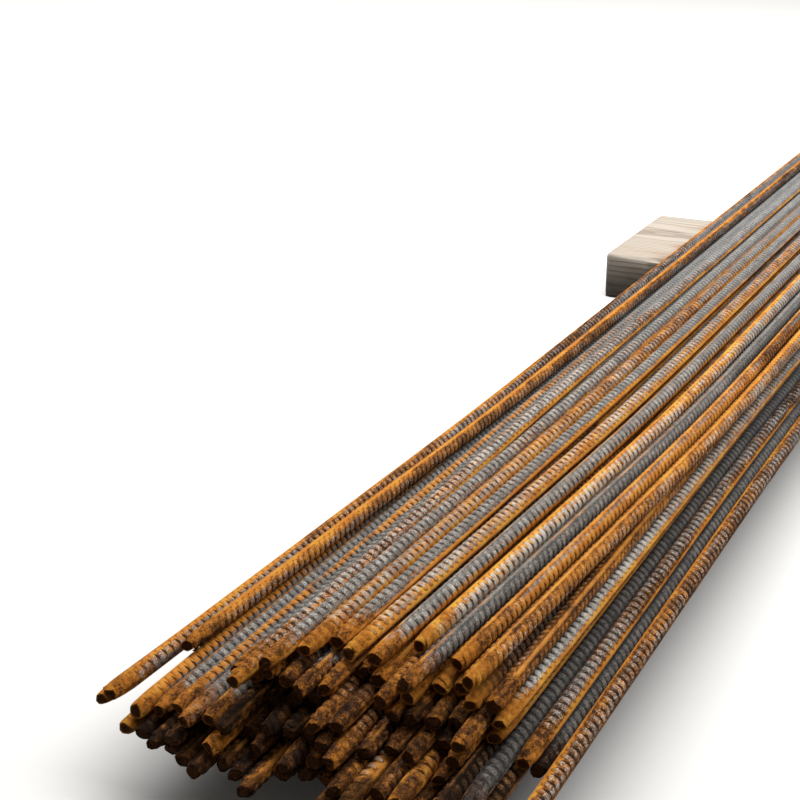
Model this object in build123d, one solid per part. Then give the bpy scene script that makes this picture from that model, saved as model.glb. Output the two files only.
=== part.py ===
from build123d import *
import math
import os
import random

os.makedirs("parts", exist_ok=True)

# Reinforcing bars, all lengths in millimetres
bar_length = 6000.0         # length that such bars are sold in
bar_diameter = 12.0         # nominal size, which gives the right weight
bar_sides = 8               # flats that stand for the round of a bar
rib_room = 0.8              # space left between two bars for their ribs

# The heap: layers of nested bars, bottom first, each with how many bars are left out
# at the right-hand edge and how many lie in the layer
layers = [(0, 23), (1, 21), (2, 16), (1, 15), (1, 12)]
loose_gap = 1.0             # widest gap beside a bar at its near end
toe_length = 85.0           # how far the lowest layer sticks out past the top one
end_stagger = 26.0          # how far the ends are out of line

# Bars that lie askew on top, right to left: how many bar widths from the middle at the
# near end and where they run straight, and how many staggers the near end sticks out
top_bars = [
    (-6.9, -8.7, 0.35),
    (-5.5, -7.5, -0.45),
    (-4.15, -6.35, 1.1),
    (-2.9, -5.15, -0.85),
    (-1.6, -3.5, 0.2),
    (-0.15, -2.05, 0.25),
    (0.9, -0.35, -0.15),
    (1.95, 0.8, 0.6),
    (2.95, 2.0, 1.6),
    (4.25, 3.7, 2.15),
    (10.45, 8.4, -0.3),
]
# Bars of the layers that stand out: layer, place from the right, how many staggers the
# near end sticks out, and how many bar widths it stands off to the left
odd_bars = [
    (0, 0, 4.0, 0.0),
    (0, 1, -0.25, 0.0),
    (0, 7, 3.8, 0.0),
    (0, 8, 4.3, 0.0),
    (0, 19, 2.9, 0.0),
    (0, 20, 2.6, 0.0),
    (0, 21, 2.6, 0.0),
    (0, 22, 1.7, 1.85),
    (1, 0, 0.25, 0.0),
    (1, 14, 3.05, 0.0),
    (1, 20, 1.8, 1.45),
    (2, 0, 0.15, 0.0),
    (2, 14, 2.9, 0.0),
    (2, 15, 2.4, 0.0),
    (3, 0, 0.25, 0.0),
    (4, 0, 0.25, 0.0),
    (4, 2, -0.2, 0.0),
    (4, 3, 0.0, 0.0),
]
splay_length = 550.0        # how far the near ends fan out
end_droop = 8.0             # how far the free ends hang down
far_spread = 1.012          # how much wider the far ends lie
crossing_steps = 12         # places between two bends where a crossing is looked for
crossing_tolerance = 0.1    # a crossing bar is lifted when it is short by more than this

# Sheared ends: a ridge across the bar, with a pressed side and a torn side
pressed_slope = 0.55
torn_slope = 0.2

# Timber bearers
overhang = 1320.0           # from the end of the bundle to the middle of a bearer
bearer_width = 225.0
bearer_thickness = 60.0
bearer_length = 480.0
bearer_edge = 4.0           # worn edge
seat_gap = 0.3              # between the bars and what holds them
bend_room = 10.0            # straight bar beyond the outer side of a bearer

# Wire ties
wire_diameter = 6.0
wire_sides = 8
corner_steps = 3            # bends with which the wire goes round a corner bar
near_tie_inset = 1160.0     # from the middle of a bearer to the tie inside it
far_tie_inset = 300.0
knot_across = 2.5           # bar widths from the middle to the twist
knot_rise = 8.0             # how far the wire is drawn up over the highest bar
knot_slack = 1.0            # height of the twist over the tight wire
twist_length = 62.0
twist_turns = 1.5
twist_steps = 12            # bends in one turn of the twist
twist_lean = 16.0           # degrees by which the twist rises along the bundle
tail_spread = 42.0          # degrees by which each loose end turns aside, level
tail_lengths = (118.0, 74.0)


def section_radius(diameter, sides):
    """Corner radius of a flat-sided section with the area of a round one."""
    return diameter * math.sqrt(math.pi / (2 * sides * math.sin(2 * math.pi / sides)))


pitch = bar_diameter + rib_room
corner_radius = section_radius(bar_diameter, bar_sides)
wire_radius = section_radius(wire_diameter, wire_sides)
wire_reach = corner_radius + seat_gap + wire_radius
right_edge = -pitch * (layers[0][1] - 1) / 2
floor_z = bearer_thickness + seat_gap + corner_radius
bearer_x = bar_length / 2 - overhang
straight_end = bearer_x + bearer_width / 2 + bend_room
station_x = [-bar_length / 2, splay_length - bar_length / 2, -straight_end, straight_end, bar_length / 2]
droops = [-end_droop, 0.0, 0.0, 0.0, -end_droop]
chance = random.Random(7)


def place_of(x):
    """Where a point along the bundle lies, counted in stations."""
    index = sum(x >= station for station in station_x[1:-1])
    return index + (x - station_x[index]) / (station_x[index + 1] - station_x[index])


def between(values, place):
    """Value at a place between two stations."""
    index = max(0, min(int(place), len(values) - 2))
    part = place - index
    return values[index] * (1 - part) + values[index + 1] * part


def across(bar, place):
    return between(bar["y"], place)


def height(bar, place):
    return between(bar["z"], place)


def resting_height(y, laid, place):
    """Lowest height at which a bar at y clears the bars already laid."""
    z = floor_z
    for bar in laid:
        gap = abs(y - across(bar, place))
        if gap < pitch:
            z = max(z, height(bar, place) + math.sqrt(pitch ** 2 - gap ** 2))
    return z


def lay(ys, out, laid):
    """Lays one bar on those already there, and lifts it where it crosses them."""
    zs = [resting_height(y, laid, index) for index, y in enumerate(ys)]
    bar = {"y": ys, "z": zs, "x": station_x[0] - out * end_stagger}
    for start in range(len(ys) - 1):
        for step in range(1, crossing_steps):
            place = start + step / crossing_steps
            short = resting_height(across(bar, place), laid, place) - height(bar, place)
            if short > crossing_tolerance:
                zs[start] += short
                zs[start + 1] += short
    return bar


def layer_bars(level, laid):
    """One layer of bars side by side, a little looser at the near end."""
    skipped, count = layers[level]
    first = right_edge + pitch * (skipped + level / 2)
    gaps = [chance.uniform(0, loose_gap) for _ in range(count)]
    odd = {place: (out, aside) for row, place, out, aside in odd_bars if row == level}
    toe = toe_length * (1 - level / len(layers)) / end_stagger
    bars = []
    for place in range(count):
        tied = first + pitch * place
        out, aside = odd.get(place, (toe + chance.uniform(-1, 1), 0.0))
        near = tied + sum(gaps[:place]) - sum(gaps) / 2 + aside * pitch
        bars.append(lay([near, tied, tied, tied, tied * far_spread], out, laid))
    return bars


def flat(corners):
    return Face(Wire.make_polygon(corners))


def rod(points, radius, sides, end_cuts=None):
    """A flat-sided rod along straight runs that meet at mitred bends."""
    runs = [(b - a).normalized() for a, b in zip(points, points[1:])]
    start = Plane(origin=points[0], z_dir=runs[0])
    angles = [2 * math.pi * corner / sides for corner in range(sides)]
    ring = [start.from_local_coords((radius * math.cos(a), radius * math.sin(a), 0)) for a in angles]
    rings = [ring]
    for point, run, after in zip(points[1:], runs, runs[1:] + runs[-1:]):
        normal = run + after
        ring = [corner + run * ((point - corner).dot(normal) / run.dot(normal)) for corner in ring]
        rings.append(ring)
    caps = []
    for end, inward, cut in zip((0, -1), (runs[0], -runs[-1]), end_cuts or (None, None)):
        if cut is None:
            caps.append(flat(rings[end]))
            continue
        ridge, slopes = cut
        reach = [radius * math.sin(angle - angles[ridge]) for angle in angles]
        rings[end] = [
            corner + inward * (slopes[0] * d if d > 0 else -slopes[1] * d)
            for corner, d in zip(rings[end], reach)
        ]
        halves = [[(ridge + step) % sides for step in range(sides // 2 + 1)]]
        halves.append([(corner + sides // 2) % sides for corner in halves[0]])
        caps += [flat([rings[end][corner] for corner in half]) for half in halves]
    walls = [
        flat([a[corner - 1], a[corner], b[corner], b[corner - 1]])
        for a, b in zip(rings, rings[1:])
        for corner in range(sides)
    ]
    return Solid(Shell(walls + caps))


def bar_solid(bar):
    """A bar along its bent line, with both ends sheared off."""
    points = []
    for x in [bar["x"], *station_x[1:-1], bar["x"] + bar_length]:
        place = place_of(x)
        points.append(Vector(x, across(bar, place), height(bar, place) + between(droops, place)))
    cuts = []
    for _ in range(2):
        ridge = chance.randrange(bar_sides // 2)
        cuts.append((ridge, (chance.uniform(0, pressed_slope), chance.uniform(-torn_slope, torn_slope))))
    return rod(points, corner_radius, bar_sides, cuts)


def bearer(x):
    """A short sawn timber under the bundle."""
    block = Pos(x, 0, bearer_thickness / 2) * Box(bearer_width, bearer_length, bearer_thickness)
    return chamfer(block.edges().filter_by(Axis.Y), bearer_edge)


def turn(a, b, c):
    return (b[0] - a[0]) * (c[1] - a[1]) - (b[1] - a[1]) * (c[0] - a[0])


def outline(points):
    """The outermost points of a section, counter-clockwise."""
    points = sorted(points)
    sides = []
    for row in (points, points[::-1]):
        side = []
        for point in row:
            while len(side) > 1 and turn(side[-2], side[-1], point) <= 0:
                side.pop()
            side.append(point)
        sides += side[:-1]
    return sides


def wrap(peak, section):
    """Where a tight wire goes round the section, from the peak under the twist and back to it."""
    corners = outline(section + [peak])
    first = corners.index(peak)
    corners = corners[first:] + corners[:first]
    points = []
    for before, corner, after in zip(corners, corners[1:], corners[2:] + corners[:1]):
        headings = [math.atan2(b[1] - a[1], b[0] - a[0]) for a, b in ((before, corner), (corner, after))]
        bend = (headings[1] - headings[0]) % (2 * math.pi)
        part = bend / corner_steps
        for step in range(corner_steps):
            out = headings[0] - math.pi / 2 + part * (step + 0.5)
            stretch = wire_reach / math.cos(part / 2)
            points.append((corner[0] + stretch * math.cos(out), corner[1] + stretch * math.sin(out)))
    return points


def tie(x, bars):
    """One length of wire drawn round the bundle, its two ends twisted together."""
    place = place_of(x)
    section = [(across(bar, place), height(bar, place)) for bar in bars]
    peak = (knot_across * pitch, max(z for y, z in section) + knot_rise)
    foot = Vector(x, peak[0], peak[1] + wire_reach + knot_slack)
    loop = [Vector(x, y, z) for y, z in wrap(peak, section)]
    lean, spread = math.radians(twist_lean), math.radians(tail_spread)
    twist = Plane(origin=foot, x_dir=(0, 1, 0), z_dir=(math.cos(lean), 0, math.sin(lean)))
    swing = wire_radius + seat_gap / 2
    steps = round(twist_turns * twist_steps)
    strands = []
    for side in (0, math.pi):
        strand = []
        for step in range(steps + 1):
            angle = side + 2 * math.pi * step / twist_steps
            rise = twist_length * step / steps
            strand.append(twist.from_local_coords((swing * math.cos(angle), swing * math.sin(angle), rise)))
        strands.append(strand)
    for strand, length in zip(strands, tail_lengths):
        strand.append(strand[-1] + twist.z_dir * wire_diameter)
        aside = math.copysign(math.sin(spread), strand[-1].Y - foot.Y)
        strand.append(strand[-1] + Vector(math.cos(spread), aside, 0) * length)
    points = strands[0][::-1] + loop + strands[1]
    return rod(points, wire_radius, wire_sides)


def save(shapes, name):
    shape = Compound(children=shapes, label=name) if len(shapes) > 1 else shapes[0]
    export_step(shape, f"parts/{name}.step")


laid = []
for level in range(len(layers)):
    laid.append(layer_bars(level, sum(laid, [])))
on_top = []
for near, tied, out in top_bars:
    near, tied = near * pitch, tied * pitch
    on_top.append(lay([near, tied, tied, tied, tied * far_spread], out, sum(laid, on_top)))

bars = sum(laid, on_top)
ends = [bar["x"] - station_x[0] for bar in bars]
for bar in bars:
    bar["x"] -= (min(ends) + max(ends)) / 2

for level, layer in enumerate(laid):
    save([bar_solid(bar) for bar in layer], f"bars_layer_{level + 1}")
save([bar_solid(bar) for bar in on_top], "bars_on_top")
save([bearer(-bearer_x)], "near_bearer")
save([bearer(bearer_x)], "far_bearer")
for number, x in enumerate((near_tie_inset - bearer_x, bearer_x - far_tie_inset)):
    save([tie(x, bars)], f"wire_tie_{number + 1}")
print("bars:", len(bars))
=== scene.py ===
import math
import random
from functools import partial, reduce

import bmesh
import bpy
import numpy as np
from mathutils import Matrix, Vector, noise


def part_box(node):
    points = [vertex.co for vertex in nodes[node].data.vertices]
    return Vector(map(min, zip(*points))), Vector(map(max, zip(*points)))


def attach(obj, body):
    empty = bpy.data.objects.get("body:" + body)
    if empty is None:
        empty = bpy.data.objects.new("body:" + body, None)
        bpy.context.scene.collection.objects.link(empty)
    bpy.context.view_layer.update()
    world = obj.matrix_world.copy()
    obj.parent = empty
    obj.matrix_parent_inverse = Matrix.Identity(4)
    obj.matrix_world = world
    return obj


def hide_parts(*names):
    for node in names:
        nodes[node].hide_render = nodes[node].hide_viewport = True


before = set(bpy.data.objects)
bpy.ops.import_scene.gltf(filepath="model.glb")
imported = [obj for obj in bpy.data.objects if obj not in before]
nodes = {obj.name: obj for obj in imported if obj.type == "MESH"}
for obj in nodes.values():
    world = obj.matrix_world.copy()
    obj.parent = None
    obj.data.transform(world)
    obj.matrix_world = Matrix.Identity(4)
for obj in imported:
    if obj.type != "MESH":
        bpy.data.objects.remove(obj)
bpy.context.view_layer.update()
print("frame loaded")


# helpers for node trees and meshes

def newTree(name):
    material = bpy.data.materials.new(name)
    material.use_nodes = True
    tree = material.node_tree
    tree.nodes.clear()
    return material, tree, tree.nodes.new("ShaderNodeTexCoord").outputs["Object"]


def shortNames(tree):
    # the four steps that a finish is mostly made of, for one tree
    return (partial(step, tree) for step in (blendColour, total, product, ramp))


def made(tree, kind, inputs, **settings):
    # a new node, each input linked to a socket or set to a value
    node = tree.nodes.new(kind)
    for name, value in settings.items():
        setattr(node, name, value)
    for name, value in inputs.items():
        if isinstance(value, bpy.types.NodeSocket):
            tree.links.new(value, node.inputs[name])
        elif value is not None:
            node.inputs[name].default_value = (*value, 1) if node.inputs[name].type == "RGBA" else value
    return node


def calc(tree, operation, *values, clamp=False):
    inputs = dict(enumerate(values))
    return made(tree, "ShaderNodeMath", inputs, operation=operation, use_clamp=clamp).outputs[0]


def product(tree, *values):
    return reduce(partial(calc, tree, "MULTIPLY"), values)


def total(tree, *terms, clamp=False):
    # each term is a socket or number, or a socket with its weight and, unless 0, the value that adds nothing
    parts = []
    for term in terms:
        if isinstance(term, tuple):
            value, weight, middle = (*term, 0.0)[:3]
            term = product(tree, calc(tree, "SUBTRACT", value, middle), weight)
        parts.append(term)
    result = reduce(partial(calc, tree, "ADD"), parts)
    return calc(tree, "ADD", result, 0.0, clamp=True) if clamp else result


def ramp(tree, value, low, high):
    # 0 at low and 1 at high, which may also be the smaller one
    inputs = {"Value": value, "From Min": low, "From Max": high}
    return made(tree, "ShaderNodeMapRange", inputs, interpolation_type="SMOOTHSTEP").outputs[0]


def blendColour(tree, factor, a, b):
    return made(tree, "ShaderNodeMix", {0: factor, 6: a, 7: b}, data_type="RGBA").outputs[2]


def speckle(tree, coords, scale, detail=4.0, rough=0.6, seed=None, stretch=None):
    if stretch:
        coords = made(tree, "ShaderNodeMapping", {"Vector": coords, "Scale": stretch}).outputs[0]
    inputs = {"Vector": coords, "Scale": scale, "Detail": detail, "Roughness": rough}
    if seed is None:
        return made(tree, "ShaderNodeTexNoise", inputs).outputs["Fac"]
    inputs["W"] = seed
    return made(tree, "ShaderNodeTexNoise", inputs, noise_dimensions="4D").outputs["Fac"]


def attribute(tree, name, output="Fac"):
    return made(tree, "ShaderNodeAttribute", {}, attribute_name=name).outputs[output]


def bumped(tree, height, distance, strength, before=None):
    inputs = {"Height": height, "Distance": distance, "Strength": strength, "Normal": before}
    return made(tree, "ShaderNodeBump", inputs).outputs[0]


def finishTree(tree, colour, rough, normal=None, metal=None, sheen=None):
    inputs = {"Base Color": colour, "Roughness": rough, "Normal": normal, "Metallic": metal,
              "Specular IOR Level": sheen}
    shader = made(tree, "ShaderNodeBsdfPrincipled", inputs)
    made(tree, "ShaderNodeOutputMaterial", {"Surface": shader.outputs[0]})


def addInput(tree, name, kind, value=None):
    socket = tree.interface.new_socket(name, in_out="INPUT", socket_type=kind)
    if value is not None:
        socket.default_value = value


def namedFloat(tree, name):
    return made(tree, "GeometryNodeInputNamedAttribute", {"Name": name}, data_type="FLOAT").outputs[0]


def endTree(tree, geometry, material):
    # a node tree ends with its instances realized and painted
    tree.interface.new_socket("Result", in_out="OUTPUT", socket_type="NodeSocketGeometry")
    realized = made(tree, "GeometryNodeRealizeInstances", {0: geometry}).outputs[0]
    painted = made(tree, "GeometryNodeSetMaterial", {"Geometry": realized, "Material": material}).outputs[0]
    made(tree, "NodeGroupOutput", {0: painted})


def newMesh(name, verts, edges, faces):
    mesh = bpy.data.meshes.new(name)
    mesh.from_pydata(verts, edges, faces)
    return mesh


def placed(name, data):
    # a new object in the scene
    thing = bpy.data.objects.new(name, data)
    bpy.context.scene.collection.objects.link(thing)
    return thing


def runTree(source, tree, inputs, name):
    # a node tree's result on an object, as a plain mesh object of its own
    modifier = source.modifiers.new(tree.name, "NODES")
    modifier.node_group = tree
    for item in tree.interface.items_tree:
        if item.item_type == "SOCKET" and item.in_out == "INPUT" and item.name in inputs:
            modifier[item.identifier] = inputs[item.name]
    bpy.context.view_layer.update()
    evaluated = source.evaluated_get(bpy.context.evaluated_depsgraph_get())
    result = placed(name, bpy.data.meshes.new_from_object(evaluated))
    bpy.data.objects.remove(source)
    return result


def setFloats(mesh, name, values):
    mesh.attributes.new(name, "FLOAT", "POINT").data.foreach_set("value", np.asarray(values, dtype=np.float32))


def setColours(mesh, name, values):
    rgba = np.concatenate([values, np.ones((len(values), 1))], axis=1).astype(np.float32)
    mesh.attributes.new(name, "FLOAT_COLOR", "POINT").data.foreach_set("color", rgba.ravel())


def nodesWith(text):
    return sorted(name for name in nodes if text in name)


def weldedNode(node, apart=1e-6):
    # a node's mesh, with the corners that its triangles share made one
    bm = bmesh.new()
    bm.from_mesh(nodes[node].data)
    bmesh.ops.remove_doubles(bm, verts=bm.verts, dist=apart)
    return bm


def bandFaces(rows, count):
    # the faces between rows of corners that go round
    faces = []
    for row in range(rows - 1):
        for corner in range(count):
            a, b = row * count + corner, row * count + (corner + 1) % count
            faces.append((a, b, b + count, a + count))
    return faces


def smooth(mesh, sharpFrom):
    # smooth but for edges that turn by more than this many degrees
    mesh.polygons.foreach_set("use_smooth", [True] * len(mesh.polygons))
    mesh.set_sharp_from_angle(angle=math.radians(sharpFrom))


def nearEnd(distance, reach):
    # 1 at an end and 0 from this far on
    return max(0.0, 1 - distance / reach)


# ribbed bars

barMake = {                         # lengths in metres
    "coreRadius": 0.00575,
    "longRibHeight": 0.0008,
    "longRibHalfWidth": 0.0011,
    "sideCorners": 5,               # corners of the round between the two long ribs
    "ribPitch": (0.0076, 0.0085),   # least and most, the bars differ
    "ribHeight": 0.00075,
    "ribFoot": 0.0057,              # widths
    "ribCrest": 0.0037,
    "ribRoot": 0.0004,              # sunk into the bar
    "ribLean": 18,                  # degrees out of square
    "ribArc": 80,                   # degrees from the middle of a rib to its tips
    "ribFullArc": 62,               # and to where it starts to fade
    "ribWear": 0.975,               # least reach of a worn rib, as a share
    "ribStart": 0.006,
    "endRibs": (0.945, 1.6),        # reach of the ribs at an end, and how it grows per metre
    "fineLength": 0.62,             # ribs with flat crests up to here
    "plainLength": 1.87,            # simpler ribs up to here, drawn by the finish beyond
    "hiddenLength": 0.085,
    "farLength": 0.34,
    "farMargin": 0.013,             # bar left plain at its far end
    "endRows": (0, 0.0015, 0.004, 0.008, 0.014, 0.022, 0.04),
    "endSquash": (0.66, 0.90),      # flattest and roundest sheared end
    "squashLength": 0.016,
    "endWear": (0.6, 0.02),         # how much of the long ribs is gone at an end, and up to where
    "rimWear": (0.06, 0.0015),      # and how much of the bar itself
    "lumps": 0.16,
    "lumpScale": (2.2, 90),         # round and along the bar
    "burr": (0.0022, 0.002),        # how far steel is torn out of an end, and from how far back
    "faceRings": (0.88, 0.60, 0.28),
    "faceDepth": 0.0017,
    "darkFrom": 0.0,                # buried ends to the left of this are darker, as painted shade
    "shadedEndRust": (0.04, 0.20),       # how orange the buried ends are there, kept low as painted shade
    "buriedRust": (0.08, 0.52),     # and elsewhere
    "finishSpread": 0.04,           # how much bars of one finish differ
    "bandSides": (150, 260),        # where a bar that isn't listed has its orange band
    "bandStrength": 0.9,
    "sharpFrom": 50,                # degrees
    "bendRoom": 0.10,               # a bend is rounded this far each side
    "seed": 11,
}

# share of mill scale, how orange the rust is, how pale both are, and how orange the sheared end is
finishes = {
    "brown": (0.24, 0.50, 0.50, 0.65),
    "rust": (0.20, 0.60, 0.40, 0.62),
    "umber": (0.38, 0.36, 0.62, 0.60),
    "bronze": (0.20, 0.38, 0.62, 0.60),
    "tawny": (0.10, 0.44, 0.50, 0.60),
    "shaded": (0.50, 0.34, 0.30, 0.85),
    "moss": (0.85, 0.36, 0.44, 0.75),
    # a dark bar with an orange sheared end, the dark of the bar painted shade
    "shadedTipped": (0.25, 0.14, 0.05, 0.90),
    "ochre": (0.28, 0.66, 0.65, 0.88),
    "orange": (0.30, 0.62, 0.55, 0.88),
    "amber": (0.34, 0.80, 0.75, 1.0),
    "silver": (0.68, 0.62, 0.62, 0.70),
    "bright": (0.60, 0.88, 0.95, 1.0),
    "grey": (0.76, 0.40, 0.35, 0.62),
    "drab": (0.62, 0.45, 0.50, 0.45),
    "tan": (0.42, 0.60, 0.80, 0.70),
    "sandy": (0.34, 0.46, 0.60, 0.80),
    "yellow": (0.36, 0.85, 0.95, 0.95),
    "slate": (0.90, 0.10, 0.0, 0.15),
    # dark rust, darker on bars deep in the bundle as painted shade
    "dark": (0.06, 0.13, 0.05, 0.12),
}
# bars that show, by their place from the right: finish, where a long rib points, rib pitch in mm and
# where an orange band lies; both places in degrees from level on the left, over the top
shownBars = {
    "bars_on_top": {
        0: ("ochre", 78, 7.55, 60), 1: ("orange", 70, 7.55, 175), 2: ("grey", 84, 7.8, None),
        3: ("yellow", 52, 8.06, 45), 4: ("silver", 48, 8.06, 200), 5: ("amber", -4, 7.8, 190),
        6: ("silver", -8, 7.9, 185), 7: ("ochre", 20, 8.0, 200), 8: ("silver", 12, 7.95, 200),
        9: ("tan", 2, 8.0, 192), 10: ("tawny", 82, 7.5, 80),
    },
    "bars_layer_1": {
        0: ("bronze", 33, 8.5, 35), 1: ("slate", 60, 8.2, None), 2: ("dark", 10, 8.0, None),
        7: ("ochre", 20, 8.0, 100), 8: ("slate", 50, 8.1, None), 19: ("dark", 15, 8.0, None),
        20: ("dark", 40, 8.0, None), 21: ("shaded", 30, 8.0, 100), 22: ("shaded", 25, 7.9, 120),
    },
    "bars_layer_2": {
        0: ("umber", 6, 8.5, 190), 1: ("slate", 20, 8.2, None), 2: ("dark", 80, 8.0, None),
        14: ("ochre", 30, 8.0, 120), 17: ("moss", 60, 7.9, None), 18: ("moss", 25, 8.0, 40),
        19: ("shaded", 40, 7.8, 90), 20: ("sandy", 38, 8.0, 60),
    },
    "bars_layer_3": {
        0: ("amber", 10, 8.0, 130), 1: ("brown", 60, 8.0, 180), 13: ("moss", 70, 8.0, None),
        14: ("moss", 35, 8.3, None), 15: ("moss", 20, 8.0, 100),
    },
    "bars_layer_4": {
        0: ("bright", -6, 7.9, 178), 1: ("umber", 30, 8.0, None), 12: ("drab", 10, 8.0, 200),
        13: ("moss", 130, 8.0, None), 14: ("moss", 125, 8.0, None),
    },
    "bars_layer_5": {
        0: ("brown", 116, 7.7, None), 1: ("shadedTipped", 50, 7.9, None), 2: ("shadedTipped", 40, 8.0, None),
        3: ("shadedTipped", 20, 8.0, None), 10: ("drab", 30, 8.0, None), 11: ("silver", 45, 7.9, None),
    },
}
# how many bars at the right and at the left of each node are in view
outerBars = {
    "bars_layer_1": (3, 4), "bars_layer_2": (3, 4), "bars_layer_3": (2, 4), "bars_layer_4": (2, 5),
    "bars_layer_5": (12, 12), "bars_on_top": (11, 11),
}


def looseParts(node):
    # the corners of each solid of a node
    bm = weldedNode(node)
    seen, parts = set(), []
    for vert in bm.verts:
        if vert in seen:
            continue
        seen.add(vert)
        stack, part = [vert], []
        while stack:
            found = stack.pop()
            part.append(found.co.copy())
            for edge in found.link_edges:
                other = edge.other_vert(found)
                if other not in seen:
                    seen.add(other)
                    stack.append(other)
        parts.append(np.array(part))
    bm.free()
    return parts


def lineStops(line):
    # distance along a line of each of its points
    return np.concatenate([[0], np.cumsum(np.linalg.norm(np.diff(line, axis=0), axis=1))])


def readBars(node, ringGap=0.05):
    # each bar's line, from its rings of corners, and its two sheared ends, sorted from the right
    bars = []
    for corners in looseParts(node):
        corners = corners[np.argsort(corners[:, 0])]
        rings = np.split(corners, np.where(np.diff(corners[:, 0]) > ringGap)[0] + 1)
        line = np.array([ring.mean(axis=0) for ring in rings])
        bars.append({"line": line, "stops": lineStops(line), "ends": (rings[0], rings[-1])})
    bars.sort(key=lambda info: info["line"][1][1])
    return bars


def pointsAlong(info, distances, bendRoom=barMake["bendRoom"]):
    # points on a bar or wire, with its bends rounded
    distances = np.asarray(distances, dtype=float)
    room = np.minimum(bendRoom, np.minimum(distances, info["stops"][-1] - distances).clip(0))
    at = distances[:, None] + room[:, None] * np.linspace(-1, 1, 9)[None, :]
    return np.stack([np.interp(at, info["stops"], places).mean(axis=1) for places in info["line"].T], axis=1)


def sectionShape():
    # corner angles of a bar's section from one long rib to the other, and how far each is on a long rib
    halfWidth = barMake["longRibHalfWidth"] / barMake["coreRadius"]
    top, foot = 0.5 * halfWidth, 1.7 * halfWidth
    side = list(np.linspace(foot, math.pi - foot, barMake["sideCorners"]))
    half = [-top, top] + side
    angles = np.array(half + [angle + math.pi for angle in half])
    lift = np.array(([1.0, 1.0] + [0.0] * len(side)) * 2)
    return angles, lift


def endReach(ring, direction, angles, far):
    # how far the sheared end stands out at each corner of the section, and at its ridge
    offsets = ring - ring.mean(axis=0)
    out = offsets @ direction
    turn = np.arctan2(offsets[:, 2], offsets[:, 1])
    order = np.argsort(turn)
    turns = np.concatenate([turn[order] + lap * 2 * math.pi for lap in (-1, 0, 1)])
    wanted = (angles + math.pi) % (2 * math.pi) - math.pi
    reach = np.interp(wanted, turns, np.tile(out[order], 3))
    return reach, out.max() if far else out.min()


def rowStops(info, reach, edge=0.001):
    # where along a bar its rows of corners are, and which of them the finish draws ribs on
    near = barMake["endRows"]
    length = info["stops"][-1]
    farRibs = length - barMake["farLength"]
    stops = [*near, reach - edge, reach + edge, farRibs - 2 * edge, farRibs, *(length - stop for stop in near)]
    for bend in info["stops"][1:-1]:
        stops += list(bend + np.linspace(-1, 1, 5) * barMake["bendRoom"])
    stops = np.array(sorted(stops))
    return stops, (stops > reach) & (stops < farRibs - edge)


def coreShape(info, reach, chance):
    # a bar without its cross ribs: rows of corners, closed by a rough face at each sheared end
    angles, lift = sectionShape()
    turned = angles + info["roll"]
    length = info["stops"][-1]
    stops, bare = rowStops(info, reach)
    centres = pointsAlong(info, stops)
    line = info["line"]
    ends = []
    for far, (ring, direction) in enumerate(zip(info["ends"], (line[1] - line[0], line[-1] - line[-2]))):
        ends.append(endReach(ring, direction / np.linalg.norm(direction), turned, far))
    flattened = [chance.uniform(*barMake["endSquash"]) for _ in ends]
    pressed = [chance.uniform(0, math.pi) for _ in ends]
    lumpsRound, lumpsAlong = barMake["lumpScale"]
    rows = []
    for centre, stop in zip(centres, stops):
        end = 0 if stop < length / 2 else 1
        fromEnd = min(stop, length - stop)
        ease = nearEnd(fromEnd, barMake["squashLength"])
        wear = nearEnd(fromEnd, barMake["endWear"][1]) * barMake["endWear"][0]
        radius = barMake["coreRadius"] + barMake["longRibHeight"] * lift * (1 - wear)
        radius *= 1 - (1 - flattened[end]) * ease * np.abs(np.cos(turned - pressed[end]))
        radius *= 1 - barMake["rimWear"][0] * nearEnd(fromEnd, barMake["rimWear"][1])
        drift = lumpsAlong * stop + info["seed"]
        places = [Vector((lumpsRound * math.cos(a), lumpsRound * math.sin(a), drift)) for a in angles]
        lumps = np.array([noise.noise(place) for place in places])
        radius *= 1 + barMake["lumps"] * min(1.0, 2 * ease) * lumps
        burr = lumps.clip(0, 1) * barMake["burr"][0] * nearEnd(fromEnd, barMake["burr"][1])
        reachHere = ends[end][0] * ease + burr * (1 - 2 * end)
        rows.append(np.stack([centre[0] + reachHere, centre[1] + radius * np.cos(turned),
                              centre[2] + radius * np.sin(turned)], axis=1))
    caps = []
    for end, rim in ((0, rows[0]), (1, rows[-1])):
        middle = rim.mean(axis=0)
        middle[0] = centres[-end][0] + ends[end][1]
        inward = 1 if end == 0 else -1
        cap = []
        for share in barMake["faceRings"]:
            ring = middle + (rim - middle) * share
            ring[:, 0] += inward * np.array([chance.uniform(0.0, barMake["faceDepth"]) for _ in angles])
            cap.append(ring)
        caps.append(cap)
    shapes = caps[0][::-1] + rows + caps[1]
    count, capRows = len(angles), len(barMake["faceRings"])
    torn = [0.35] + [1.0] * (capRows - 1)       # least on the outer ring of a sheared face

    def forRows(values, near=0, far=0):
        # a value for each row, those of the sheared faces too, given to all its corners
        near, far = np.broadcast_to(near, capRows), np.broadcast_to(far, capRows)
        return np.repeat(np.concatenate([near, values, far]), count)

    marks = {
        "crest": np.pad(np.tile(lift, len(rows)), capRows * count),
        "endFace": forRows(np.zeros(len(rows)), torn[::-1], torn),
        "along": forRows(stops, 0, length),
        "fromEnd": forRows(np.minimum(stops, length - stops)),
        "bare": forRows(bare),
        "across": np.tile(np.cos(angles), len(shapes)),
        "upward": np.tile(np.sin(angles), len(shapes)),
    }
    faces = bandFaces(len(shapes), count)
    last = (len(shapes) - 1) * count
    faces.append(tuple(range(count - 1, -1, -1)))
    faces.append(tuple(range(last, last + count)))
    return np.concatenate(shapes), faces, marks


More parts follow.
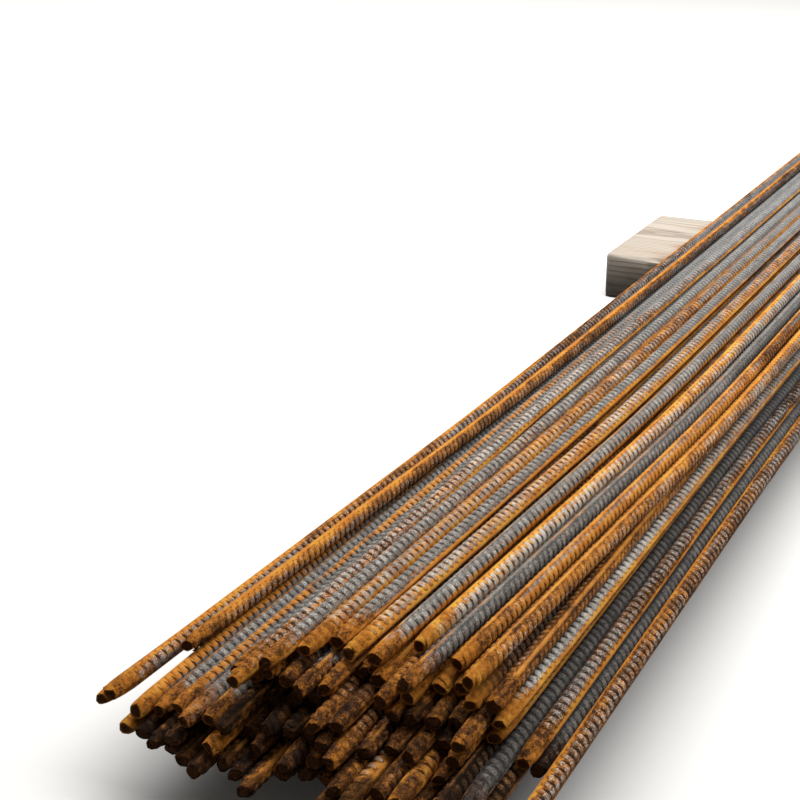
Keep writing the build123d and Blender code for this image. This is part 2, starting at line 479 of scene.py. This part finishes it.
def ribObject(name, flatCrest, stations):
    # one cross rib, a crescent on the upper side of a bar along X
    arc = math.radians(barMake["ribArc"])
    lean = math.tan(math.radians(barMake["ribLean"]))
    stay, fall, tip = 1.6, 0.8, 0.4     # how long it stays high, how it falls, and how wide its tips are
    section = [(-1, 0), (-1, 1), (1, 1), (1, 0)] if flatCrest else [(-1, 0), (0, 1), (1, 0)]
    bm = bmesh.new()
    crest, across, upward = (bm.verts.layers.float.new(key) for key in ("crest", "across", "upward"))
    rings = []
    for index in range(stations + 2):
        part = -1 + 2 * index / (stations + 1)
        angle = arc * part
        swell = min(1.0, stay * math.cos(part * math.pi / 2)) ** fall
        shift = barMake["coreRadius"] * angle * lean
        ring = []
        corners = section if 0 < index <= stations else [(0, 0)]
        for side, top in corners:
            width = barMake["ribCrest"] if top else barMake["ribFoot"]
            radius = barMake["coreRadius"] + (barMake["ribHeight"] * swell if top else -barMake["ribRoot"])
            x = shift + side * width / 2 * (tip + (1 - tip) * swell)
            vert = bm.verts.new((x, radius * math.sin(angle), radius * math.cos(angle)))
            vert[crest] = swell if top else 0.0
            vert[across], vert[upward] = math.sin(angle), math.cos(angle)
            ring.append(vert)
        rings.append(ring)
    for ring, after in zip(rings, rings[1:]):
        for side in range(len(section)):
            corners = [ring[side % len(ring)], ring[(side + 1) % len(ring)],
                       after[(side + 1) % len(after)], after[side % len(after)]]
            bm.faces.new(list(dict.fromkeys(corners)))
    bmesh.ops.recalc_face_normals(bm, faces=bm.faces)
    mesh = bpy.data.meshes.new(name)
    bm.to_mesh(mesh)
    bm.free()
    return placed(name, mesh)


def ribTree(material):
    # bar lines in, cross ribs out: two rows of crescents, half a pitch apart, on opposite sides
    tree = bpy.data.node_groups.new("crossRibs", "GeometryNodeTree")
    addInput(tree, "Bar lines", "NodeSocketGeometry")
    addInput(tree, "Rib", "NodeSocketObject")
    addInput(tree, "Row offset", "NodeSocketFloat", 0.5)
    addInput(tree, "Wear", "NodeSocketFloat", barMake["ribWear"])
    addInput(tree, "Seed", "NodeSocketInt", barMake["seed"])
    given = tree.nodes.new("NodeGroupInput").outputs
    pitch = namedFloat(tree, "pitch")
    lines = made(tree, "GeometryNodeMeshToCurve", {0: given["Bar lines"]}).outputs[0]
    inputs = {"Curve": lines, "Length": pitch}
    points = made(tree, "GeometryNodeResampleCurve", inputs, mode="LENGTH").outputs[0]
    ribShape = made(tree, "GeometryNodeObjectInfo", {"Object": given["Rib"]}).outputs["Geometry"]
    tangent = tree.nodes.new("GeometryNodeInputTangent").outputs[0]
    along = made(tree, "FunctionNodeAlignRotationToVector", {"Vector": tangent}, axis="X").outputs[0]
    joined = tree.nodes.new("GeometryNodeJoinGeometry")
    for side in (0, 1):
        offset = made(tree, "ShaderNodeCombineXYZ", {"X": product(tree, given["Row offset"], pitch, side)})
        shifted = made(tree, "GeometryNodeSetPosition", {"Geometry": points, "Offset": offset.outputs[0]})
        turn = calc(tree, "ADD", namedFloat(tree, "roll"), math.pi * side)
        spin = made(tree, "FunctionNodeAxisAngleToRotation", {"Axis": (1, 0, 0), "Angle": turn})
        inputs = {"Rotation": along, "Rotate By": spin.outputs[0]}
        turned = made(tree, "FunctionNodeRotateRotation", inputs, rotation_space="LOCAL")
        wear = made(tree, "FunctionNodeRandomValue", {2: given["Wear"], 3: 1.0, "Seed": given["Seed"]})
        rise = product(tree, wear.outputs[1], namedFloat(tree, "rise"))
        size = made(tree, "ShaderNodeCombineXYZ", {"X": 1.0, "Y": rise, "Z": rise})
        inputs = {"Geometry": shifted.outputs[0], "Name": "turn", "Value": turn}
        marked = made(tree, "GeometryNodeStoreNamedAttribute", inputs)
        inputs = {"Points": marked.outputs[0], "Instance": ribShape, "Rotation": turned.outputs[0],
                  "Scale": size.outputs[0]}
        ribs = made(tree, "GeometryNodeInstanceOnPoints", inputs)
        tree.links.new(ribs.outputs[0], joined.inputs[0])
    endTree(tree, joined.outputs[0], material)
    return tree


steelColours = {
    "dark": (0.015, 0.0065, 0.0028),
    "brown": (0.120, 0.044, 0.012),
    "orange": (0.57, 0.198, 0.022),
    "yellow": (0.76, 0.37, 0.050),
    "wornRust": (0.42, 0.245, 0.120),
    "darkScale": (0.029, 0.030, 0.032),
    "midScale": (0.200, 0.182, 0.158),
    "paleScale": (0.68, 0.64, 0.58),
    "coolScale": (0.20, 0.215, 0.225),
}
steelLook = {
    "patches": 26,                  # scales of the mottling, from coarse to fine
    "mottle": 130,
    "streaks": 210,
    "grit": 560,
    "fine": 1150,
    "calmFrom": (0.3, 1.3),         # metres from an end between which a bar turns greyer and calmer
    "calming": 0.45,
    "endRust": (0.05, 0.008),       # metres from an end where the rust of the shearing sets in and is full
    "bandEdge": (0.74, 1.0),        # an orange band fades in between these, 1 is its middle
    "underside": (-0.15, -0.60),    # and the painted shade of the underside between these, -1 is straight down
    "grooveShade": 0.92,            # how dark the painted shade is in the grooves, on the flanks of the ribs and on the underside
    "flankShade": 0.88,
    "underShade": 0.85,
    "endCover": 0.85,
    "metal": 0.22,
    "rough": 0.88,
    "drawnRib": 0.0009,             # heights of the bumps
    "flakes": 0.0011,
}


def crossRibPattern(tree, along, pitch, across, upward):
    # 1 on a cross rib and 0 in the groove between two, and how much of the ribs there is round the bar
    lean = barMake["coreRadius"] * math.tan(math.radians(barMake["ribLean"]))
    local = calc(tree, "ARCTAN2", across, calc(tree, "ABSOLUTE", upward))
    shift = product(tree, local, calc(tree, "SIGN", upward), -lean)
    phase = calc(tree, "SUBTRACT", calc(tree, "SUBTRACT", along, shift), barMake["ribStart"])
    phase = calc(tree, "DIVIDE", phase, pitch)
    phase = calc(tree, "ADD", phase, product(tree, calc(tree, "LESS_THAN", upward, 0.0), 0.5))
    fromGroove = calc(tree, "ABSOLUTE", calc(tree, "SUBTRACT", calc(tree, "FRACT", phase), 0.5))
    arcs = (math.radians(barMake["ribArc"]), math.radians(barMake["ribFullArc"]))
    return product(tree, fromGroove, 2.0), ramp(tree, calc(tree, "ABSOLUTE", local), *arcs)


def steelFinish():
    look, colours = steelLook, steelColours
    material, tree, coords = newTree("rustySteel")
    mix, add, times, fade = shortNames(tree)
    split = made(tree, "ShaderNodeSeparateColor", {0: attribute(tree, "finish", "Color")})
    scaleShare, orangeShare, paleShare = split.outputs
    seed, along, fromEnd, bare = (attribute(tree, name) for name in ("seed", "along", "fromEnd", "bare"))
    across, upward, turn = (attribute(tree, name) for name in ("across", "upward", "turn"))

    # which way the surface looks, across and up, and how near that is to the middle of the band
    turnAcross, turnUp = calc(tree, "COSINE", turn), calc(tree, "SINE", turn)
    outAcross = calc(tree, "SUBTRACT", times(across, turnAcross), times(upward, turnUp))
    outUp = add(times(across, turnUp), times(upward, turnAcross))
    facing = add(times(outAcross, attribute(tree, "bandAcross")), times(outUp, attribute(tree, "bandUp")))

    # ribs, both the real ones and those drawn where the bar is bare, and the grooves between them
    near, window = crossRibPattern(tree, along, attribute(tree, "pitch"), across, upward)
    isRib, isLifted = attribute(tree, "rib"), attribute(tree, "crest")
    notRib = calc(tree, "SUBTRACT", 1.0, isRib)
    drawn = times(fade(near, 0.28, 0.72), window, bare)
    crest = calc(tree, "MAXIMUM", isLifted, drawn)
    # masks for painted shade in the grooves and on the lower flanks of the ribs
    groove = times(fade(near, 0.44, 0.20), window, notRib, calc(tree, "SUBTRACT", 1.0, crest))
    flank = times(fade(crest, 0.80, 0.10), window, isRib)

    patches = speckle(tree, coords, look["patches"], 3, 0.6, seed, (0.09, 0.6, 0.6))
    streaks = speckle(tree, coords, look["streaks"], 4, 0.6, seed, (0.10, 1, 1))
    mottle = speckle(tree, coords, look["mottle"], 4, 0.65, seed, (0.5, 1, 1))
    grit = speckle(tree, coords, look["grit"], 5, 0.75)
    fine = speckle(tree, coords, look["fine"], 3, 0.7)
    inner = fade(fromEnd, *look["calmFrom"])
    calm = add(1.0, (inner, -look["calming"]))
    atEnd = fade(add(fromEnd, (mottle, 0.10, 0.5)), *look["endRust"])
    edge = add(facing, (streaks, 1.2, 0.5), (patches, 1.6, 0.5), (grit, 0.5, 0.5))
    band = times(fade(edge, *look["bandEdge"]), calm)
    longRib = times(isLifted, notRib, calm)

    # rust, from nearly black over brown and orange to yellow
    orange = add(orangeShare, (band, 0.40), (patches, 1.3, 0.5), (mottle, 1.5, 0.5), (grit, 1.2, 0.5),
                 (fine, 0.8, 0.5), (longRib, 0.28), (inner, -0.17), (crest, 0.10), clamp=True)
    rust = mix(fade(orange, 0.0, 0.42), colours["dark"], colours["brown"])
    rust = mix(fade(orange, 0.30, 0.85), rust, colours["orange"])
    yellow = times(fade(orange, 0.6, 1.0), paleShare, fade(mottle, 0.42, 0.60))
    rust = mix(yellow, rust, colours["yellow"])
    rust = mix(times(crest, fade(fine, 0.42, 0.62), 0.45), rust, colours["wornRust"])

    # mill scale, dark to pale, and cooler towards the middle of a bar
    # the rib crests paler, partly worn and partly painted highlight
    pale = add(paleShare, (grit, 2.6, 0.52), (fine, 2.8, 0.5), (mottle, 1.6, 0.5), (crest, 0.40),
               (times(inner, scaleShare), 0.35))
    scale = mix(fade(pale, -0.1, 0.75), colours["darkScale"], colours["midScale"])
    scale = mix(fade(pale, 0.85, 1.6), scale, colours["paleScale"])
    scale = mix(times(inner, 0.5), scale, colours["coolScale"])
    scaled = add(scaleShare, (patches, 1.3, 0.5), (streaks, 1.4, 0.5), (grit, 1.5, 0.5), (fine, 1.2, 0.5),
                 (crest, 0.12), (atEnd, -0.6), (band, -0.75), (longRib, -0.40),
                 (inner, 0.24))
    scaled = fade(scaled, 0.38, 0.62)
    colour = mix(scaled, rust, scale)

    # painted shade: darker in the grooves, on the lower rib flanks and on the underside of the bar
    shade = calc(tree, "MAXIMUM", times(groove, look["grooveShade"]), times(flank, look["flankShade"]))
    colour = mix(times(shade, calm), colour, colours["dark"])
    under = fade(add(outUp, (mottle, 0.5, 0.5)), *look["underside"])
    colour = mix(times(under, look["underShade"]), colour, colours["dark"])

    # the rustier last stretch, and the sheared face, dark partly from its rust and partly as painted shade
    endTint = add(attribute(tree, "endOrange"), (mottle, 2.6, 0.5), (grit, 1.5, 0.5), (fine, 1.0, 0.5))
    endColour = mix(fade(endTint, 0.05, 0.5), colours["dark"], colours["brown"])
    endColour = mix(fade(endTint, 0.42, 0.85), endColour, colours["orange"])
    endColour = mix(fade(endTint, 0.9, 1.5), endColour, colours["yellow"])
    colour = mix(times(atEnd, look["endCover"]), colour, endColour)
    faceColour = mix(fade(fine, 0.30, 0.62), colours["dark"], colours["brown"])
    faceColour = mix(times(fade(grit, 0.55, 0.70), 0.6), faceColour, colours["orange"])
    torn = fade(add(attribute(tree, "endFace"), (fine, 1.6, 0.5)), 0.05, 0.85)
    colour = mix(torn, colour, faceColour)

    glint = times(scaled, fade(pale, 0.8, 1.4))
    rough = add(look["rough"], (scaled, -0.22), (glint, -0.16), (grit, 0.5, 0.5), clamp=True)
    normal = bumped(tree, drawn, look["drawnRib"], 0.9)
    flakes = times(add(grit, (fine, 0.5)), add(1.0, (atEnd, 1.3)))
    normal = bumped(tree, flakes, look["flakes"], 0.95, normal)
    sheen = add(0.12, (scaled, 0.45))
    finishTree(tree, colour, rough, normal, times(scaled, look["metal"]), sheen)
    return material


perBar = ("seed", "endOrange", "pitch", "bandAcross", "bandUp")


def ribLines(bars, spans, name):
    # a line for each stretch of ribs: a whole number of pitches, and a little for rounding
    verts, edges, looks = [], [], []
    marks = {key: [] for key in ("roll", *perBar, "rise", "along", "fromEnd")}
    atEnd, growth = barMake["endRibs"]
    for info, (start, stop) in zip(bars, spans):
        pitch = info["pitch"]
        if stop - start < 2 * pitch:
            continue
        first = math.ceil((start - barMake["ribStart"]) / pitch)
        count = int((stop - barMake["ribStart"]) / pitch) - first
        distances = barMake["ribStart"] + pitch * (first + np.linspace(0, count + 0.02, count // 4 + 2))
        base = len(verts)
        verts += [tuple(point) for point in pointsAlong(info, distances)]
        edges += [(base + index, base + index + 1) for index in range(len(distances) - 1)]
        fromEnd = np.minimum(distances, info["stops"][-1] - distances)
        for key in ("roll", *perBar):
            marks[key] += [info[key]] * len(distances)
        marks["rise"] += list(np.clip(atEnd + fromEnd * growth, 0, 1))
        marks["along"] += list(distances)
        marks["fromEnd"] += list(fromEnd)
        looks.append(np.tile(info["look"][:3], (len(distances), 1)))
    mesh = newMesh(name, verts, edges, [])
    for key, values in marks.items():
        setFloats(mesh, key, values)
    setColours(mesh, "finish", np.concatenate(looks))
    return placed(name, mesh)


def makeBars(node, material, tree, fineRib, plainRib, chance):
    # the bars of one node, ribs and all
    bars = readBars(node)
    right, left = outerBars[node]
    given = shownBars[node]
    verts, faces, marks, looks = [], [], {}, []
    fineSpans, plainSpans, farSpans = [], [], []
    offset = 0
    for place, info in enumerate(bars):
        shown = place < right or place >= len(bars) - left
        length = info["stops"][-1]
        info["seed"] = chance.uniform(0, 50)
        # hidden bars on the left get dark finishes and dark ends, painted shade
        buried = info["line"][0][1] > barMake["darkFrom"] and not shown
        common = ["dark", "dark", "brown"] if buried else ["brown", "brown", "rust", "ochre", "drab", "dark"]
        byChance = (chance.choice(common), chance.uniform(0, 360), 1000 * chance.uniform(*barMake["ribPitch"]),
                    chance.uniform(*barMake["bandSides"]))
        name, roll, pitch, band = given.get(place, byChance)
        info["roll"], info["pitch"] = math.radians(roll), pitch / 1000
        strength = 0.0 if band is None else 1.0 if place in given else barMake["bandStrength"]
        side = math.radians(band or 0)
        info["bandAcross"], info["bandUp"] = strength * math.cos(side), strength * math.sin(side)
        look = np.array(finishes[name])
        if place not in given and not shown:
            look[3] = chance.uniform(*barMake["shadedEndRust" if buried else "buriedRust"])
        spread = barMake["finishSpread"]
        info["look"] = np.clip(look + np.array([chance.uniform(-spread, spread) for _ in look]), 0, 1)
        info["endOrange"] = info["look"][3]
        reach = barMake["plainLength"] if shown else barMake["hiddenLength"]
        fine = min(reach, barMake["fineLength"])
        fineSpans.append((0, fine))
        plainSpans.append((fine, reach))
        farSpans.append((length - barMake["farLength"], length - barMake["farMargin"]))
        barVerts, barFaces, barMarks = coreShape(info, reach, chance)
        verts.append(barVerts)
        faces += [tuple(corner + offset for corner in face) for face in barFaces]
        offset += len(barVerts)
        for key in perBar:
            barMarks[key] = np.full(len(barVerts), info[key])
        barMarks["turn"] = np.full(len(barVerts), info["roll"])
        for key, values in barMarks.items():
            marks.setdefault(key, []).append(values)
        looks.append(np.tile(info["look"][:3], (len(barVerts), 1)))
    mesh = newMesh(node + "_cores", np.concatenate(verts).tolist(), [], faces)
    for key, values in marks.items():
        setFloats(mesh, key, np.concatenate(values))
    setColours(mesh, "finish", np.concatenate(looks))
    mesh.materials.append(material)
    piece = placed(node.replace("bars", "ribbed_bars"), mesh)
    ribs = []
    for spans, rib in ((fineSpans, fineRib), (plainSpans, plainRib), (farSpans, plainRib)):
        if not any(stop - start > 2 * barMake["ribPitch"][1] for start, stop in spans):
            continue
        part = runTree(ribLines(bars, spans, node + "_lines"), tree, {"Rib": rib}, node + "_ribs")
        setFloats(part.data, "rib", np.ones(len(part.data.vertices)))
        ribs.append(part)
    with bpy.context.temp_override(active_object=piece, selected_editable_objects=[piece] + ribs):
        bpy.ops.object.join()
    smooth(piece.data, barMake["sharpFrom"])
    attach(piece, "root")
    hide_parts(node)


rustySteel = steelFinish()
crossRibs = ribTree(rustySteel)
fineRib = ribObject("fineRib", True, 5)
plainRib = ribObject("plainRib", False, 3)
barChance = random.Random(barMake["seed"])
for node in nodesWith("bars_"):
    makeBars(node, rustySteel, crossRibs, fineRib, plainRib, barChance)
for rib in (fineRib, plainRib):
    bpy.data.objects.remove(rib)
print("bars made")


# wire ties: a round wire along the line of the frame's tie

wireMake = {
    "radius": 0.003,
    "sides": 12,
    "step": 0.0025,
    "bendRoom": 0.003,
    "tipReach": 2.4,                # radii within which the corners of a tip lie
    "grit": 520,                    # scales of the mottling
    "mottle": 95,
    "rough": 0.72,
    "metal": 0.15,
    "relief": 0.0006,
    "colours": ((0.035, 0.014, 0.007), (0.20, 0.080, 0.026), (0.46, 0.20, 0.05)),
}


def readWire(node):
    # the rings of a flat-sided wire, from the tip of its longer loose end to the other
    bm = weldedNode(node)
    tip = max(bm.verts, key=lambda vert: vert.co.x).co
    reach = wireMake["tipReach"] * wireMake["radius"]
    ring = {vert for vert in bm.verts if (vert.co - tip).length < reach}
    seen, line = set(ring), []
    while ring:
        line.append(np.mean([tuple(vert.co) for vert in ring], axis=0))
        ring = {edge.other_vert(vert) for vert in ring for edge in vert.link_edges} - seen
        seen |= ring
    bm.free()
    return {"line": np.array(line), "stops": lineStops(line)}


def wireTree(material):
    tree = bpy.data.node_groups.new("roundWire", "GeometryNodeTree")
    addInput(tree, "Wire line", "NodeSocketGeometry")
    addInput(tree, "Radius", "NodeSocketFloat", wireMake["radius"])
    addInput(tree, "Sides", "NodeSocketInt", wireMake["sides"])
    given = tree.nodes.new("NodeGroupInput").outputs
    line = made(tree, "GeometryNodeMeshToCurve", {0: given["Wire line"]}).outputs[0]
    inputs = {"Radius": given["Radius"], "Resolution": given["Sides"]}
    circle = made(tree, "GeometryNodeCurvePrimitiveCircle", inputs)
    inputs = {"Curve": line, "Profile Curve": circle.outputs[0], "Fill Caps": True}
    tube = made(tree, "GeometryNodeCurveToMesh", inputs)
    endTree(tree, tube.outputs[0], material)
    return tree


def wireFinish():
    material, tree, coords = newTree("rustyWire")
    mix, add, _, fade = shortNames(tree)
    grit = speckle(tree, coords, wireMake["grit"], 5, 0.7)
    mottle = speckle(tree, coords, wireMake["mottle"], 4, 0.6)
    tint = add(0.5, (mottle, 2.2, 0.5), (grit, 1.0, 0.5), clamp=True)
    dark, rust, pale = wireMake["colours"]
    colour = mix(fade(tint, 0.5, 1.0), mix(fade(tint, 0.0, 0.5), dark, rust), pale)
    rough = add(wireMake["rough"], (grit, 0.4, 0.5), clamp=True)
    finishTree(tree, colour, rough, bumped(tree, grit, wireMake["relief"], 0.8), wireMake["metal"])
    return material


def makeTie(node, tree):
    info = readWire(node)
    count = round(info["stops"][-1] / wireMake["step"])
    points = pointsAlong(info, np.linspace(0, info["stops"][-1], count), wireMake["bendRoom"])
    edges = [(index, index + 1) for index in range(count - 1)]
    sizes = {"Radius": wireMake["radius"], "Sides": wireMake["sides"]}
    line = placed(node + "_line", newMesh(node + "_line", points.tolist(), edges, []))
    piece = runTree(line, tree, sizes, node.replace("wire_tie", "twisted_tie"))
    piece.data.polygons.foreach_set("use_smooth", [len(face.vertices) == 4 for face in piece.data.polygons])
    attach(piece, "root")
    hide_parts(node)


roundWire = wireTree(wireFinish())
for node in nodesWith("wire_tie"):
    makeTie(node, roundWire)
print("ties made")


# bearers: sawn, weathered planks with worn edges and drying cracks

plankMake = {
    "edgeRadius": 0.006,
    "edgeWear": 0.005,
    "endWear": (0.0022, 0.005),     # depth at an end, and how far it reaches
    "sawnDepth": 0.0009,
    "rows": 56,
    "rimRows": (0.0, 0.0015, 0.004),
    "endRings": (0.88, 0.68, 0.45, 0.22),
    "step": 0.009,                  # between corners across the grain
    "cracks": 9,
    "crackWidth": 0.0016,
    "crackDepth": 0.010,
    "crackLength": (0.05, 0.16),
    "ringWidth": 0.0042,
    "pith": (0.03, -0.055),         # from the middle of the plank's underside, in x and z
    "pale": (0.50, 0.415, 0.325),
    "deep": (0.235, 0.175, 0.125),
    "weathered": (0.36, 0.335, 0.305),
    "greying": 0.75,
    "wander": 14,                   # scales of the mottling
    "fibre": 620,
    "blotch": 22,
    "rough": 0.86,
    "relief": 0.0009,
    # colour of the painted shade in the cracks and on the sides, and how strong it is on the sides
    "paintedShadeColour": (0.030, 0.022, 0.016),
    "paintedSideShade": 0.85,
    "rustStain": (0.27, 0.115, 0.035),
    "stainReach": 0.165,
    "stainStrength": 0.75,
    "sharpFrom": 40,                # degrees
    "seed": 5,
}


def plankSection(low, high, cracks):
    # corners round a plank's section with their outward directions, and which crack runs there
    r, step = plankMake["edgeRadius"], plankMake["step"]
    room = 0.004            # no other corner this near to a crack
    width, height = high[0] - low[0], high[2] - low[2]
    corners = []
    sides = (((low[0] + r, high[2]), (1, 0), (0, 1), width - 2 * r),
             ((high[0], high[2] - r), (0, -1), (1, 0), height - 2 * r),
             ((high[0] - r, low[2]), (-1, 0), (0, -1), width - 2 * r),
             ((low[0], low[2] + r), (0, 1), (-1, 0), height - 2 * r))
    for side, (start, run, out, length) in enumerate(sides):
        places = {round(value, 5): None for value in np.linspace(0, length, max(3, round(length / step)))}
        for number, crack in enumerate(cracks):
            if crack["side"] == side:
                middle = crack["at"] * length
                places = {value: mark for value, mark in places.items() if abs(value - middle) > room}
                half = plankMake["crackWidth"] / 2
                places.update({middle - half: None, middle: number, middle + half: None})
        for value in sorted(places):
            corners.append((start[0] + run[0] * value, start[1] + run[1] * value, out, places[value]))
        turnFrom = math.atan2(out[1], out[0])
        centre = (start[0] + run[0] * length - out[0] * r, start[1] + run[1] * length - out[1] * r)
        for part in (0.25, 0.5, 0.75):
            angle = turnFrom - part * math.pi / 2
            outward = (math.cos(angle), math.sin(angle))
            corners.append((centre[0] + r * outward[0], centre[1] + r * outward[1], outward, None))
    return corners


def plankShape(low, high, chance):
    cracks = []
    for number in range(plankMake["cracks"]):
        end = chance.choice((0, 1))
        length = chance.uniform(*plankMake["crackLength"])
        cracks.append({
            "side": chance.choice((0, 0, 1, 3)),        # more of them on top, and none underneath
            "at": (number + chance.uniform(0.3, 0.7)) / plankMake["cracks"],
            "from": low[1] if end else high[1] - length, "to": low[1] + length if end else high[1],
            "end": end, "depth": chance.uniform(0.3, 1) * plankMake["crackDepth"],
        })
    corners = plankSection(low, high, cracks)
    rim = plankMake["rimRows"]
    length = high[1] - low[1]
    between = np.linspace(2 * rim[-1], length - 2 * rim[-1], plankMake["rows"])
    stops = sorted({*rim, *between, *(length - value for value in rim)})
    seed = chance.uniform(0, 100)

    def roughness(x, y, z, across, along):
        return noise.noise(Vector((x * across, y * along + seed, z * across)))

    verts, marks = [], []
    for stop in stops:
        y = low[1] + stop
        fromEnd = min(stop, length - stop)
        for x, z, out, crack in corners:
            edge = abs(out[0] * out[1]) * 2
            under = out[1] < -0.9
            saw = (roughness(x, y, z, 90, 7) + 1) / 2 * plankMake["sawnDepth"]
            worn = max(0.0, roughness(x, y, z, 30, 24) + 0.15)
            wear = worn * edge * plankMake["edgeWear"]
            wear += nearEnd(fromEnd, plankMake["endWear"][1]) ** 2 * plankMake["endWear"][0]
            deep = 0.0
            if crack is not None:
                info = cracks[crack]
                along = (info["to"] - y if info["end"] else y - info["from"]) / (info["to"] - info["from"])
                deep = info["depth"] * max(0.0, min(1.0, along * 1.6))
            depth = (0.0 if under else saw + wear) + deep
            verts.append((x - out[0] * depth, y, z - out[1] * depth))
            marks.append(1.0 if deep > 0 else 0.0)
    count = len(corners)
    faces = bandFaces(len(stops), count)
    for end, first, inward in ((0, 0, 1), (1, (len(stops) - 1) * count, -1)):
        outerRing = list(range(first, first + count))
        rimPoints = [Vector(verts[index]) for index in outerRing]
        middle = sum(rimPoints, Vector()) / count
        previous = outerRing
        for share in plankMake["endRings"]:
            ring = []
            for index, point in enumerate(rimPoints):
                place = middle + (point - middle) * share
                crack = marks[first + index] * max(0.0, share - 0.35)
                place.y += inward * (abs(noise.noise(place * 120)) * 0.0008 + crack * 0.006)
                ring.append(len(verts))
                verts.append(tuple(place))
                marks.append(1.0 if crack > 0.2 else 0.0)
            for corner in range(count):
                after = (corner + 1) % count
                face = (previous[corner], previous[after], ring[after], ring[corner])
                faces.append(face if end else face[::-1])
            previous = ring
        faces.append(tuple(previous) if end else tuple(previous[::-1]))
    return verts, faces, marks


def plankFinish(name, low, high):
    look = plankMake
    material, tree, coords = newTree(name)
    mix, add, times, fade = shortNames(tree)
    x, y, z = made(tree, "ShaderNodeSeparateXYZ", {0: coords}).outputs
    wander = speckle(tree, coords, look["wander"], 3, stretch=(1, 0.18, 1))
    fibre = speckle(tree, coords, look["fibre"], 5, 0.7, stretch=(1, 0.03, 1))
    blotch = speckle(tree, coords, look["blotch"], 4, stretch=(1, 0.35, 1))
    acrossPith = calc(tree, "SUBTRACT", x, (low[0] + high[0]) / 2 + look["pith"][0])
    overPith = calc(tree, "SUBTRACT", z, low[2] + look["pith"][1])
    fromPith = calc(tree, "SQRT", add(times(acrossPith, acrossPith), times(overPith, overPith)))
    rings = add(calc(tree, "DIVIDE", fromPith, look["ringWidth"]), (wander, 5.0, 0.5))
    lateWood = fade(calc(tree, "FRACT", rings), 0.45, 1.0)
    colour = mix(add(lateWood, (fibre, 1.0, 0.5), clamp=True), look["pale"], look["deep"])
    grey = add(0.45, (blotch, 1.8, 0.5), (fibre, 0.8, 0.5), clamp=True)
    colour = mix(times(grey, look["greying"]), colour, look["weathered"])
    fromLine = add(calc(tree, "ABSOLUTE", y), (blotch, 0.10, 0.5))
    stain = fade(fromLine, look["stainReach"] + 0.012, look["stainReach"] - 0.03)
    stain = times(stain, fade(z, high[2] - 0.03, high[2]), look["stainStrength"])
    colour = mix(stain, colour, look["rustStain"])
    # painted shade: the sides darker towards the bottom, and the cracks dark
    paintedSideShade = fade(add(z, (blotch, 0.04, 0.5)), high[2] + 0.002, high[2] - 0.045)
    colour = mix(times(paintedSideShade, look["paintedSideShade"]), colour, look["paintedShadeColour"])
    colour = mix(attribute(tree, "crack"), colour, look["paintedShadeColour"])
    rough = add(look["rough"], (fibre, 0.25, 0.5), clamp=True)
    relief = add(times(lateWood, 0.5), fibre)
    finishTree(tree, colour, rough, bumped(tree, relief, look["relief"], 0.7))
    return material


def makePlank(node, chance):
    low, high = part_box(node)
    verts, faces, marks = plankShape(low, high, chance)
    mesh = newMesh(node + "_plank", verts, [], faces)
    setFloats(mesh, "crack", marks)
    mesh.materials.append(plankFinish(node + "Timber", low, high))
    piece = placed(node.replace("bearer", "plank"), mesh)
    smooth(mesh, plankMake["sharpFrom"])
    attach(piece, "root")
    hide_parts(node)


plankChance = random.Random(plankMake["seed"])
for node in nodesWith("bearer"):
    makePlank(node, plankChance)
print("bearers made")


# floor, light and camera

studio = {
    "cameraAt": (-3.795, -0.457, 0.655),
    "cameraDown": 20.85,            # degrees
    "cameraLeft": 26.5,             # degrees to the left of the bars
    "lens": 50,
    "sensor": 24,
    "floorSize": 60,
    "floorSeen": (0.78, 0.77, 0.75),
    "floorLit": (0.20, 0.195, 0.19),
    "skyColour": (1.0, 0.98, 0.95),
    "skyStrength": 0.17,
    "lampPower": 415,
    "lampAt": (-1.5, -0.05, 3.3),
    "lampTarget": (0.0, 0, 0.1),
    "lampSize": (2.6, 8.0),
}


def shownDirectly(tree):
    # 1 for what the camera sees, also in a reflection or through glass
    path = tree.nodes.new("ShaderNodeLightPath")
    seen = calc(tree, "MAXIMUM", path.outputs["Is Camera Ray"], path.outputs["Is Glossy Ray"])
    return calc(tree, "MAXIMUM", seen, path.outputs["Is Transmission Ray"])


def makeFloor():
    half = studio["floorSize"] / 2
    corners = [(-half, -half, 0), (half, -half, 0), (half, half, 0), (-half, half, 0)]
    mesh = newMesh("floor", corners, [], [(0, 1, 2, 3)])
    floor = placed("floor", mesh)
    material, tree, coords = newTree("paleFloor")
    clouded = tuple(part * 0.96 for part in studio["floorSeen"])
    seen = blendColour(tree, speckle(tree, coords, 2.5), clouded, studio["floorSeen"])
    finishTree(tree, blendColour(tree, shownDirectly(tree), studio["floorLit"], seen), 0.92)
    mesh.materials.append(material)


def makeLamp():
    light = bpy.data.lights.new("overhead", "AREA")
    light.shape = "RECTANGLE"
    light.size, light.size_y = studio["lampSize"]
    light.energy = studio["lampPower"]
    lamp = placed("overhead", light)
    lamp.location = studio["lampAt"]
    down = Vector(studio["lampTarget"]) - Vector(studio["lampAt"])
    lamp.rotation_euler = down.to_track_quat("-Z", "X").to_euler()


def makeStudio():
    scene = bpy.context.scene
    down, left = math.radians(studio["cameraDown"]), math.radians(studio["cameraLeft"])
    heading = Vector((math.cos(left) * math.cos(down), math.sin(left) * math.cos(down), -math.sin(down)))
    data = bpy.data.cameras.new("camera")
    data.lens = studio["lens"]
    data.sensor_width = studio["sensor"]
    data.clip_start = 0.01
    camera = placed("camera", data)
    camera.location = studio["cameraAt"]
    camera.rotation_euler = heading.to_track_quat("-Z", "Y").to_euler()
    scene.camera = camera
    scene.world = world = bpy.data.worlds.new("studio")
    world.use_nodes = True
    background = world.node_tree.nodes["Background"]
    background.inputs["Color"].default_value = (*studio["skyColour"], 1)
    background.inputs["Strength"].default_value = studio["skyStrength"]
    scene.view_settings.view_transform = "Standard"


makeFloor()
makeLamp()
makeStudio()
print("studio made")
